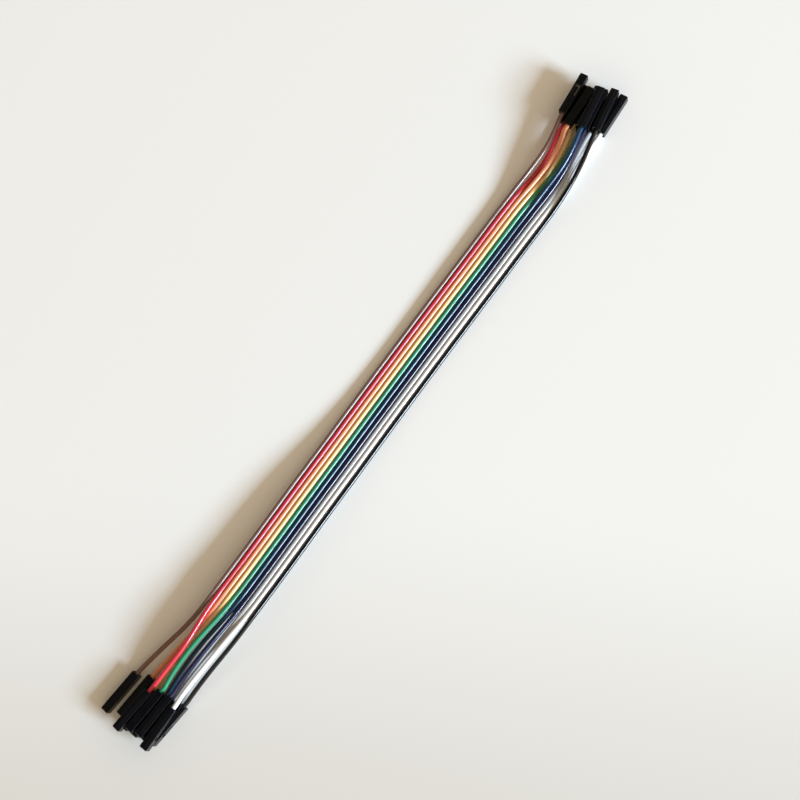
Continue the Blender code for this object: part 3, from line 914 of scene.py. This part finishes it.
@dataclass
class SocketHousing:
    """The moulded one-way housing, rear face at x = 0 and latch window on top.

    Attributes:
        half: Half width outside.
        hollow: Half width of the cavity.
        length: Length from the rear face to the front face.
        cavity: Where the cavity ends, from the rear face.
        hole: Half width of the pin hole.
        lead: Half width of its lead-in at the front face.
        rounding: Radius of the long outer edges.
        window: Rear and front edge of the latch window.
        window_half: Half width of the latch window.
        tongue: Where the tongue ends.
        tongue_half: Half width of the tongue.
        parting: Height of the line where the tool's halves meet.
        inner: Radius of the cavity's corners.
        sunk: How far the tongue lies below the top, and its catch below the wall.
        bevel: Width of the bevels at the window.
        pattern_step: Distance between the patterns of two housings, in millimetres.
    """

    half: float = 1.27 * MM
    hollow: float = 0.98 * MM
    length: float = 14.0 * MM
    cavity: float = 12.5 * MM
    hole: float = 0.475 * MM
    lead: float = 0.725 * MM
    rounding: float = 0.13 * MM
    window: tuple[float, float] = (6.3 * MM, 10.3 * MM)
    window_half: float = 0.8 * MM
    tongue: float = 9.3 * MM
    tongue_half: float = 0.45 * MM
    parting: float = 0.012 * MM
    inner: float = 0.09 * MM
    sunk: float = 0.05 * MM
    bevel: float = 0.03 * MM
    pattern_step: float = 9.0

    def stations(self) -> tuple[Array, int, int, int]:
        """Lists the sections once round the wall: outside to the rear, then inside to the front.

        Returns:
            Rows of x, half width, corner radius, parting height and edge wear, then the first
            window row outside, the first inside, and how many rows the window has.
        """
        half, hollow, end = self.half, self.hollow, self.length
        low, high = self.window
        front = [
            (end - 0.45 * MM, self.hole, 0.05 * MM, 0.0, 0.0),
            (end - 0.03 * MM, self.lead - 0.02 * MM, 0.06 * MM, 0.0, 0.3),
            (end, self.lead + 0.02 * MM, 0.07 * MM, 0.0, 0.3),
            (end, half - 0.27 * MM, self.inner, 0.0, 0.4),
            (end - 0.03 * MM, half - 0.19 * MM, 0.10 * MM, 0.0, 1.0),
            (end - 0.17 * MM, half - 0.05 * MM, 0.12 * MM, 0.0, 1.0),
            (end - 0.26 * MM, half - 0.005 * MM, self.rounding, 0.0, 0.8),
            (end - 0.45 * MM, half, self.rounding, self.parting, 0.1),
            (end - 1.8 * MM, half, self.rounding, self.parting, 0.0),
        ]
        tip = self.tongue
        opening = np.array([
            high, tip, tip - 0.25 * MM, tip - 1.1 * MM, low + 0.9 * MM, low + 0.35 * MM, low,
        ])
        outside = [(x, half, self.rounding, self.parting, 0.0) for x in opening]
        rear = [
            (4.5 * MM, half, self.rounding, self.parting, 0.0),
            (2.2 * MM, half, self.rounding, self.parting, 0.0),
            (0.30 * MM, half, self.rounding, self.parting, 0.1),
            (0.07 * MM, half - 0.004 * MM, self.rounding, 0.0, 0.8),
            (0.0, half - 0.07 * MM, 0.11 * MM, 0.0, 1.0),
            (0.0, hollow + 0.09 * MM, 0.10 * MM, 0.0, 0.7),
            (0.09 * MM, hollow + 0.015 * MM, self.inner, 0.0, 0.5),
            (0.25 * MM, hollow, self.inner, 0.0, 0.0),
            (4.5 * MM, hollow, self.inner, 0.0, 0.0),
        ]
        inside = [(x, hollow, self.inner, 0.0, 0.0) for x in opening[::-1]]
        deep = [
            (self.cavity - 0.5 * MM, hollow, self.inner, 0.0, 0.0),
            (self.cavity, hollow - 0.04 * MM, self.inner, 0.0, 0.0),
            (self.cavity, self.hole + 0.03 * MM, 0.05 * MM, 0.0, 0.0),
            (self.cavity + 0.05 * MM, self.hole, 0.05 * MM, 0.0, 0.0),
        ]
        rows = np.array(front + outside + rear + inside + deep)
        return rows, len(front), len(front) + len(outside) + len(rear), len(opening)

    def profile(self) -> tuple[Array, Array, Array, Array]:
        """Gives the directions that make the points of a rounded square section.

        A point is half * U + corner * V + line * W + parting * Q, so that flat points keep
        their distance from the middle and corner points turn about the corner's centre.

        Returns:
            U, V, W in millimetres and Q, each with one row for each point of the section.
        """
        window, tongue = self.window_half / MM, self.tongue_half / MM
        lines = np.array([-window, -tongue, 0.0, tongue, window])
        seam = np.array([-0.03, 0.0, 0.03])
        turns = np.radians([90.0, 67.5, 45.0, 22.5, 0.0])
        groups = []
        for quarter in range(4):
            back = -quarter * np.pi / 2
            spin = np.array([[np.cos(back), -np.sin(back)], [np.sin(back), np.cos(back)]])
            flats = lines if quarter % 2 == 0 else seam
            count = len(flats)
            still, corner = np.zeros(count), np.zeros((len(turns), 2))
            rounded = np.stack([np.cos(turns) - 1.0, np.sin(turns) - 1.0], axis=1)
            ridge = (np.abs(flats) < 1e-9) & (quarter % 2 == 1)
            u = np.concatenate([np.tile([0.0, 1.0], (count, 1)), corner + 1.0])
            v = np.concatenate([np.zeros((count, 2)), rounded])
            w = np.concatenate([np.stack([flats, still], axis=1), corner])
            q = np.concatenate([np.stack([still, ridge.astype(float)], axis=1), corner])
            groups.append([part @ spin.T for part in (u, v, w, q)])
        return tuple(np.concatenate([group[i] for group in groups]) for i in range(4))

    def surface(self) -> Surface:
        """Carries the rounded square once round the wall and opens the latch window.

        The window's cells are left out of the outer and the inner wall, and every edge between
        a kept and a left-out cell is joined to the same edge of the other wall. The tongue's
        rows sink outside and carry a low catch inside.

        Returns:
            The closed surface, with the point values local, in millimetres, and edge.
        """
        rows, outer, inner, count = self.stations()
        u, v, w, q = self.profile()
        x, half, corner, parting, wear = rows.T
        scale = np.minimum(1.0, (half - corner) / (0.9 * MM)) * MM
        flat = (
            half[:, None, None] * u + corner[:, None, None] * v
            + scale[:, None, None] * w + parting[:, None, None] * q
        )
        grid = np.concatenate([np.broadcast_to(x[:, None, None], (*flat.shape[:2], 1)), flat], axis=2)
        middle = (grid + np.roll(grid, -1, axis=1)) / 2
        cell = (middle + np.roll(middle, -1, axis=0)) / 2
        walls = np.zeros(len(rows), bool)
        walls[outer:outer + count - 1] = True
        walls[inner:inner + count - 1] = True
        top = (cell[..., 2] > 0.7 * self.hollow) & walls[:, None]
        opened = top & (np.abs(cell[..., 1]) < self.window_half)
        opened &= ~((cell[..., 0] < self.tongue) & (np.abs(cell[..., 1]) < self.tongue_half))
        number = np.arange(grid.shape[0] * grid.shape[1]).reshape(grid.shape[:2])
        beside, below = np.roll(number, -1, axis=1), np.roll(number, -1, axis=0)
        across = np.roll(beside, -1, axis=0)
        quads = np.stack([number, beside, across, below], axis=-1)[~opened]
        partner = number.copy()
        partner[outer:outer + count] = number[inner:inner + count][::-1]
        here = opened[outer - 1:outer + count]
        ids, twin = number[outer - 1:outer + count + 1], partner[outer - 1:outer + count + 1]
        long_edge = here[:, 1:] != here[:, :-1]
        j, k = np.nonzero(long_edge)
        first = [ids[j, k + 1], ids[j + 1, k + 1], twin[j + 1, k + 1], twin[j, k + 1]]
        cross_edge = here[1:] != here[:-1]
        j, k = np.nonzero(cross_edge)
        second = [ids[j + 1, k], ids[j + 1, k + 1], twin[j + 1, k + 1], twin[j + 1, k]]
        joins = np.concatenate([np.stack(first, axis=1), np.stack(second, axis=1)])
        tongue = (np.abs(grid[..., 1]) <= self.tongue_half + 1e-7) & (grid[..., 2] > 0.7 * self.hollow)
        along = (grid[..., 0] - self.window[0]) / (self.tongue - self.window[0])
        on_tongue = tongue & (along > 0.01) & (along < 1.01)
        sunk = -self.sunk * smooth_step(along / 0.3)
        catch = -self.sunk * smooth_step((along - 0.6) / 0.3)
        outside = grid[..., 2] > self.half - 0.01 * MM
        # The rows of the window's walls are those before and after each of their cells
        wall_rows = (walls | np.roll(walls, 1))[:, None]
        grid[..., 2] += np.where(on_tongue & wall_rows, np.where(outside, sunk, catch), 0.0)
        round_part = np.linalg.norm(v, axis=1) > 1e-9
        outer_rows = half[:, None] > self.half - 0.02 * MM
        touch = np.maximum(wear[:, None], 0.75 * round_part[None, :] * outer_rows)
        return Surface(
            grid.reshape(-1, 3), np.concatenate([quads, joins]), [],
            {"local": grid.reshape(-1, 3) / MM, "edge": (touch ** 2).ravel()},
        )

    def build(self, tag: str, number: int, place: Array, finish: bpy.types.Material) -> bpy.types.Object:
        """Makes one housing in its place, with fine bevels at the window.

        Args:
            tag: Wire colour and end, as in the CAD node's name.
            number: Number of the housing, which moves the pattern of its finish.
            place: Placement in the frame of the model.
            finish: Material of the housing.

        Returns:
            The piece.
        """
        shell = self.surface()
        shell.values["local"] = shell.values["local"] + np.array([0.0, 0.0, self.pattern_step * number])
        made = shell.placed(place).piece("moulded_housing_" + tag, finish, 30.0)
        bevel = made.modifiers.new("fine_bevel", "BEVEL")
        bevel.limit_method = "ANGLE"
        bevel.angle_limit = np.radians(55.0)
        bevel.width = self.bevel
        bevel.segments = 2
        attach(made, "root")
        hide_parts("housing_" + tag)
        return made


@dataclass
class CrimpTerminal:
    """The folded contact: mating box, neck, conductor crimp and insulation crimp on one strip.

    Attributes:
        half: Half width of the box and the insulation crimp at the middle of the sheet.
        grip: Half width of the conductor crimp.
        sheet: Thickness of the strip.
        columns: Points across the strip.
        leaf_span: Rear and front end of the contact leaf.
        leaf_height: Height of its ends, and how far its middle bows up.
        leaf_width: Half width at its rear, and how much it narrows to the front.
        leaf_half: Half thickness of the leaf.
        pattern_step: Distance between the patterns of two terminals, in millimetres.
    """

    half: float = 0.825 * MM
    grip: float = 0.42 * MM
    sheet: float = 0.15 * MM
    columns: int = 33
    leaf_span: tuple[float, float] = (7.2 * MM, 11.9 * MM)
    leaf_height: tuple[float, float] = (-0.70 * MM, 0.42 * MM)
    leaf_width: tuple[float, float] = (0.34 * MM, 0.12 * MM)
    leaf_half: float = 0.05 * MM
    pattern_step: float = 7.0

    def stations(self) -> Array:
        """Lists the sections from the cut-off tab at the rear to the front of the box.

        Returns:
            Rows of x, half size, middle height, squareness, opening in degrees and crimp dip,
            with the lengths in metres.
        """
        full, grip = self.half / MM, self.grip / MM
        sunk = grip - full
        rows = np.array([
            (0.14, full, 0.0, 2.2, 150.0, 0.0),
            (0.20, full, 0.0, 2.2, 147.0, 0.0),
            (0.49, full, 0.0, 2.2, 145.0, 0.0),
            (0.52, full, 0.0, 2.2, 32.0, 0.0),
            (0.64, full, 0.0, 2.1, 11.0, 0.0),
            (0.80, full, 0.0, 2.1, 6.0, 0.05),
            (1.45, full, 0.0, 2.1, 5.0, 0.08),
            (2.10, full, 0.0, 2.1, 6.0, 0.05),
            (2.26, full, 0.0, 2.1, 11.0, 0.0),
            (2.38, full, 0.0, 2.2, 32.0, 0.0),
            (2.42, full, 0.0, 2.2, 118.0, 0.0),
            (2.60, 0.9 * full, -0.1 * full, 2.3, 112.0, 0.0),
            (2.85, 0.62 * full, -0.38 * full, 2.4, 104.0, 0.0),
            (3.04, grip + 0.03, sunk + 0.03, 2.6, 98.0, 0.0),
            (3.10, grip, sunk, 2.8, 30.0, 0.1),
            (3.20, grip, sunk, 2.8, 6.0, 0.3),
            (4.00, grip - 0.01, sunk - 0.01, 2.8, 4.0, 0.42),
            (4.80, grip, sunk, 2.8, 6.0, 0.3),
            (4.90, grip, sunk, 2.8, 30.0, 0.1),
            (4.95, grip + 0.03, sunk + 0.03, 2.8, 96.0, 0.0),
            (5.25, 0.72 * full, -0.28 * full, 3.4, 92.0, 0.0),
            (5.55, 0.93 * full, -0.07 * full, 5.0, 88.0, 0.0),
            (5.85, full, 0.0, 8.0, 84.0, 0.0),
            (5.98, full, 0.0, 9.0, 80.0, 0.0),
            (6.02, full, 0.0, 9.0, 12.0, 0.0),
            (6.10, full, 0.0, 9.0, 3.6, 0.0),
            (8.00, full, 0.0, 9.0, 3.4, 0.0),
            (10.50, full, 0.0, 9.0, 3.6, 0.0),
            (12.05, full, 0.0, 9.0, 3.6, 0.0),
            (12.20, full - 0.03, 0.0, 9.0, 4.5, 0.0),
        ])
        rows[:, :3] *= MM
        return rows

    def fine(self) -> Array:
        """Returns the sections with two more between each two, on a straight line between them."""
        rows = self.stations()
        place = np.linspace(0.0, len(rows) - 1.0, 3 * (len(rows) - 1) + 1)
        low = np.minimum(np.floor(place).astype(int), len(rows) - 2)
        share = (place - low)[:, None]
        return rows[low] * (1.0 - share) + rows[low + 1] * share

    def strip(self) -> Surface:
        """Folds the strip: a superellipse in polar form, open at the top, with a thickness.

        The middle of the sheet lies at r = ((|cos a| / s)^n + (|sin a| / s)^n)^(-1/n) from the
        section's middle, where a runs round from the top, less a dip at the top where the
        wings of a crimp curl in. Outer and inner skin stand half a sheet away along the
        section's normal.

        Returns:
            The closed surface in the housing's own axes, with the point value local.
        """
        x, size, lift, power, opening, dip = (column[:, None] for column in self.fine().T)
        share = np.linspace(0.0, 1.0, self.columns)[None, :]
        gap = np.radians(opening)
        even = gap + share * (2 * np.pi - 2 * gap)
        # Points gather at the corners of the box, where the squareness is high
        turn = even + 0.7 * np.sin(4 * even) / 4 * smooth_step((power - 2.5) / 4.0)
        base = (np.abs(np.cos(turn)) / size) ** power + (np.abs(np.sin(turn)) / size) ** power
        from_top = np.minimum(turn, 2 * np.pi - turn)
        reach = base ** (-1.0 / power) * (1.0 - dip * np.exp(-((from_top / 0.42) ** 2)))
        flat = np.stack([reach * np.sin(turn), reach * np.cos(turn) + lift], axis=-1)
        along = np.gradient(flat, axis=1)
        normal = np.stack([-along[..., 1], along[..., 0]], axis=-1)
        normal = normal / np.linalg.norm(normal, axis=-1, keepdims=True)
        outer = flat + normal * self.sheet / 2
        inner = flat - normal * self.sheet / 2
        loop = np.concatenate([outer, inner[:, ::-1]], axis=1)
        grid = np.concatenate([np.broadcast_to(x[..., None], (*loop.shape[:2], 1)), loop], axis=2)
        rings, count = loop.shape[:2]
        walls = ring_quads(rings, count)
        k = np.arange(self.columns - 1)
        lid = np.stack([k, k + 1, count - 2 - k, count - 1 - k], axis=1)
        quads = np.concatenate([walls, lid, lid + (rings - 1) * count])
        points = grid.reshape(-1, 3)
        return Surface(points, quads, [], {"local": points / MM})

    def leaf(self) -> Surface:
        """Bends the contact leaf: a flat strip that bows up as a sine squared in the box.

        Returns:
            The closed surface in the housing's own axes, with the point value local.
        """
        share = np.linspace(0.0, 1.0, 25)
        x = self.leaf_span[0] + share * (self.leaf_span[1] - self.leaf_span[0])
        z = self.leaf_height[0] + self.leaf_height[1] * np.sin(np.pi * share) ** 2
        half_width = self.leaf_width[0] - self.leaf_width[1] * share
        slope = np.gradient(z, x)
        up = np.stack([-slope, np.ones_like(slope)], axis=1) / np.hypot(slope, 1.0)[:, None]
        corners = np.array([(-1.0, -1.0), (1.0, -1.0), (1.0, 1.0), (-1.0, 1.0)])
        grid = np.zeros((len(x), 4, 3))
        grid[..., 0] = x[:, None] + self.leaf_half * corners[None, :, 1] * up[:, :1]
        grid[..., 1] = half_width[:, None] * corners[None, :, 0]
        grid[..., 2] = z[:, None] + self.leaf_half * corners[None, :, 1] * up[:, 1:]
        points = grid.reshape(-1, 3)
        last = len(points) - 4
        caps = [[0, 1, 2, 3], [last, last + 1, last + 2, last + 3]]
        return Surface(points, ring_quads(len(x), 4), caps, {"local": points / MM})

    def build(self, tag: str, number: int, place: Array, finish: bpy.types.Material) -> bpy.types.Object:
        """Makes one terminal in its place.

        Args:
            tag: Wire colour and end, as in the CAD node's name.
            number: Number of the terminal, which moves the pattern of its finish.
            place: Placement in the frame of the model.
            finish: Material of the strip.

        Returns:
            The piece.
        """
        metal = self.strip().with_more(self.leaf())
        metal.values["local"] = metal.values["local"] + np.array([0.0, 0.0, self.pattern_step * number])
        made = metal.placed(place).piece("crimp_terminal_" + tag, finish, 40.0)
        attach(made, "root")
        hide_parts("terminal_" + tag)
        return made


@dataclass
class StrippedConductor:
    """The seven bare strands between the cut insulation and the conductor crimp.

    Attributes:
        strand: Radius of a strand.
        lay: Length of one turn of the strands.
        sides: Points round a strand.
        count: Strands of a conductor, one of them in the middle.
        orbit: Distance of the outer strands from the middle one, in strand radii.
        keys: Distances from the rear face at which the drop is given, in millimetres.
        drops: Drop into the crimp at each of them, in millimetres.
        splay: Share by which the strands spread past the crimp.
        turn_step: Share of a turn between the lays of two conductors.
        pattern_step: Distance between the patterns of two conductors, in millimetres.
    """

    strand: float = 0.065 * MM
    lay: float = 7.0 * MM
    sides: int = 10
    count: int = 7
    orbit: float = 2.05
    keys: tuple[float, ...] = (1.45, 1.75, 2.1, 2.9, 3.3, 4.9, 5.2)
    drops: tuple[float, ...] = (0.0, 0.0, -0.03, -0.37, -0.405, -0.405, -0.36)
    splay: float = 0.5
    turn_step: float = 0.13
    pattern_step: float = 5.0

    def surface(self, number: int) -> Surface:
        """Twists six strands round a straight one and lays them down into the crimp.

        Strand m turns about the bundle's line at the orbit, at the angle
        2 pi (travel / lay + m / 6), and spreads a little past the crimp.

        Args:
            number: Number of the conductor, which turns its lay.

        Returns:
            The closed surface in the housing's own axes, with the point value local.
        """
        x = np.linspace(self.keys[0], self.keys[-1], 26)
        z = np.interp(x, self.keys, self.drops)
        z[1:-1] = (z[:-2] + 2 * z[1:-1] + z[2:]) / 4
        centre = np.stack([x, 0.0 * x, z], axis=1) * MM
        travel = distance_along(centre)
        strands = np.arange(self.count)[:, None]
        spread = 1.0 + self.splay * smooth_step((x - 4.85) / 0.4)
        orbit = np.where(strands == 0, 0.0, self.orbit * self.strand) * spread
        angle = 2 * np.pi * (travel / self.lay + strands / (self.count - 1) + self.turn_step * number)
        lines = centre + np.stack([0.0 * angle, orbit * np.cos(angle), orbit * np.sin(angle)], axis=-1)
        ahead, side, up = path_axes(lines)
        turn = np.linspace(0.0, 2 * np.pi, self.sides + 1)[:-1]
        across = (
            np.cos(turn)[:, None] * side[:, :, None, :] + np.sin(turn)[:, None] * up[:, :, None, :]
        )
        taper = np.ones(len(x))
        taper[-1] = 0.6
        grid = lines[:, :, None, :] + (self.strand * taper)[None, :, None, None] * across
        points = grid.reshape(-1, 3)
        size = len(x) * self.sides
        one = ring_quads(len(x), self.sides)
        quads = np.concatenate([one + size * m for m in range(self.count)])
        caps = [
            list(range(size * m + start, size * m + start + self.sides))
            for m in range(self.count) for start in (0, size - self.sides)
        ]
        local = points / MM + np.array([0.0, 0.0, self.pattern_step * number])
        return Surface(points, quads, caps, {"local": local})

    def build(self, tag: str, number: int, place: Array, finish: bpy.types.Material) -> bpy.types.Object:
        """Makes one stripped conductor in its place.

        Args:
            tag: Wire colour and end.
            number: Number of the conductor.
            place: Placement in the frame of the model.
            finish: Material of the strands.

        Returns:
            The piece.
        """
        made = self.surface(number).placed(place).piece("bare_strands_" + tag, finish, 60.0)
        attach(made, "root")
        return made


@dataclass
class Studio:
    """Table top, window light and camera.

    Attributes:
        eye: Camera's place.
        right: Its axis to the right of the picture.
        down: Its axis down the picture.
        ahead: Its axis into the picture.
        lens: Focal length in millimetres.
        sensor: Width of the sensor in millimetres.
        sun_height: Height of the window over the table, in degrees.
        sun_bearing: Bearing of the window from +X towards +Y, in degrees.
        sun_away: Distance of the window.
        sun_size: Width and height of the window.
        sun_watts: Power of the window light.
        sun_tint: Its colour, cool against the room.
        room_tint: sRGB hex of the room's warm light.
        room_level: Strength of the room's light at the level of the table.
        room_lean: What the strength gains along each axis: more towards the window, less above.
        table_half: Half width of the table top.
        table_ticks: Points along each side of its grid.
    """

    eye: tuple[float, float, float] = (-0.031691, -0.122230, 0.365)
    right: tuple[float, float, float] = (0.599324, -0.777733, -0.189584)
    down: tuple[float, float, float] = (-0.794879, -0.550148, -0.255939)
    ahead: tuple[float, float, float] = (0.094753, 0.304086, -0.947921)
    lens: float = 58.5
    sensor: float = 36.0
    sun_height: float = 18.5
    sun_bearing: float = -84.0
    sun_away: float = 5.0
    sun_size: tuple[float, float] = (1.7, 0.97)
    sun_watts: float = 520.0
    sun_tint: tuple[float, float, float] = (0.645, 0.82, 1.0)
    room_tint: str = "#FFE7C6"
    room_level: float = 1.41
    room_lean: tuple[float, float, float] = (0.05, -0.52, -1.24)
    table_half: float = 3.0
    table_ticks: int = 13

    def camera(self) -> bpy.types.Object:
        """Makes the camera that looks along the photograph's axes.

        Returns:
            The camera.
        """
        lens = bpy.data.cameras.new("photo_camera")
        lens.lens = self.lens
        lens.sensor_width = self.sensor
        lens.clip_start = 0.01
        lens.clip_end = 20.0
        made = bpy.data.objects.new("photo_camera", lens)
        axes = np.eye(4)
        axes[:3, 0] = self.right
        axes[:3, 1] = -np.array(self.down)
        axes[:3, 2] = -np.array(self.ahead)
        axes[:3, 3] = self.eye
        made.matrix_world = Matrix(axes.tolist())
        bpy.context.scene.collection.objects.link(made)
        bpy.context.scene.camera = made
        return made

    def window(self) -> bpy.types.Object:
        """Makes the soft window light that shines across the table.

        Returns:
            The light.
        """
        pane = bpy.data.lights.new("window_light", "AREA")
        pane.shape = "RECTANGLE"
        pane.size, pane.size_y = self.sun_size
        pane.energy = self.sun_watts
        pane.color = self.sun_tint
        made = bpy.data.objects.new("window_light", pane)
        height, bearing = np.radians(self.sun_height), np.radians(self.sun_bearing)
        flat = np.cos(height)
        towards = np.array([flat * np.cos(bearing), flat * np.sin(bearing), np.sin(height)])
        side = np.cross([0.0, 0.0, 1.0], towards)
        side = side / np.linalg.norm(side)
        axes = np.eye(4)
        axes[:3, 0] = side
        axes[:3, 1] = np.cross(towards, side)
        axes[:3, 2] = towards
        axes[:3, 3] = towards * self.sun_away
        made.matrix_world = Matrix(axes.tolist())
        made.visible_camera = False
        bpy.context.scene.collection.objects.link(made)
        return made

    def room(self) -> None:
        """Sets the soft light of the room and the plain view of colours.

        Its strength is the level plus the dot product of the lean and the direction looked in.
        """
        world = bpy.data.worlds.new("room")
        world.use_nodes = True
        tree = world.node_tree
        tree.nodes.clear()
        facing = add_node(tree, "ShaderNodeTexCoord", {}, {}).outputs["Generated"]
        lean = add_node(tree, "ShaderNodeVectorMath", {"operation": "DOT_PRODUCT"}, {
            0: facing, 1: self.room_lean,
        })
        level = add_node(tree, "ShaderNodeMath", {"operation": "ADD"}, {
            0: lean.outputs["Value"], 1: self.room_level,
        })
        glow = add_node(tree, "ShaderNodeBackground", {}, {
            "Color": linear(self.room_tint), "Strength": level,
        })
        add_node(tree, "ShaderNodeOutputWorld", {}, {"Surface": glow})
        bpy.context.scene.world = world
        bpy.context.scene.view_settings.view_transform = "Standard"

    def table(self, finish: bpy.types.Material) -> bpy.types.Object:
        """Makes the table top, a flat even grid on z = 0.

        Args:
            finish: Material of the table top.

        Returns:
            The table top.
        """
        ticks = np.linspace(-self.table_half, self.table_half, self.table_ticks)
        x, y = np.meshgrid(ticks, ticks, indexing="ij")
        points = np.stack([x, y, 0.0 * x], axis=-1).reshape(-1, 3)
        index = np.arange(len(points)).reshape(len(ticks), len(ticks))
        quads = np.stack([index[:-1, :-1], index[1:, :-1], index[1:, 1:], index[:-1, 1:]], axis=-1)
        mesh = bpy.data.meshes.new("table_top")
        mesh.from_pydata(points.tolist(), [], quads.reshape(-1, 4).tolist())
        mesh.materials.append(finish)
        made = bpy.data.objects.new("table_top", mesh)
        bpy.context.scene.collection.objects.link(made)
        return made


# Colour of each wire's insulation, then where it is strained and where it is dusty
INSULATION: dict[Hue, tuple[str, str, str]] = {
    Hue.BROWN: ("#70524A", "#8A7B74", "#7C665C"),
    Hue.RED: ("#C6303F", "#E58A96", "#D04452"),
    Hue.ORANGE: ("#EC946B", "#F8C8AE", "#EFA07C"),
    Hue.YELLOW: ("#E5C581", "#F4E3B6", "#E8CC8E"),
    Hue.GREEN: ("#258360", "#8CCBB0", "#35906F"),
    Hue.BLUE: ("#04304C", "#6F8A9E", "#0E3C5A"),
    Hue.PURPLE: ("#12163A", "#6C6A86", "#1A1E44"),
    Hue.GREY: ("#A9ABB1", "#CBCBCC", "#B3B5B9"),
    Hue.WHITE: ("#E3E4E5", "#EEEEEC", "#E6E7E8"),
    Hue.BLACK: ("#020406", "#4A4C50", "#070A0D"),
}


def main() -> None:
    """Builds the scene in order and reports each piece."""
    logging.basicConfig(level=logging.INFO, format="%(name)s: %(message)s")
    studio = Studio()
    studio.camera()
    studio.room()
    studio.window()
    # The table's last colour is painted shade: darker paint at the near edge, in place of light that falls
    # off there
    studio.table(TableTop("painted_table_top", "#F2F2F0", 0.75, BumpKind.TABLE, "#DBD8D2").material())
    plan = RibbonPlan()
    for hue in Hue:
        colour, strained, dusty = INSULATION[hue]
        finish = SoftPvc("soft_pvc_" + hue.value, colour, 0.19, BumpKind.DRAWN, strained, dusty)
        made = BondedWire(plan, hue).build(finish.material())
        LOG.info("%s: %d faces", made.name, len(made.data.polygons))
    nylon = MouldedNylon("moulded_black_nylon", "#01040A", 0.25, BumpKind.ERODED, "#101318").material()
    tin = TinnedBronze("tinned_phosphor_bronze", "#A9A7A2", 0.30, BumpKind.ROLLED, "#76746F").material()
    copper = CopperStrand("annealed_copper_strand", "#C98258", 0.30, BumpKind.ROLLED, "#7E4B33").material()
    housing, terminal, conductor = SocketHousing(), CrimpTerminal(), StrippedConductor()
    for number, (end, hue) in enumerate((end, hue) for end in End for hue in Hue):
        place = plan.place(end, hue)
        tag = hue.value + "_" + end.value
        shell = housing.build(tag, number, place, nylon)
        metal = terminal.build(tag, number, place, tin)
        strands = conductor.build(tag, number, place, copper)
        for made in (shell, metal, strands):
            LOG.info("%s: %d faces", made.name, len(made.data.polygons))


if __name__ == "__main__":
    main()
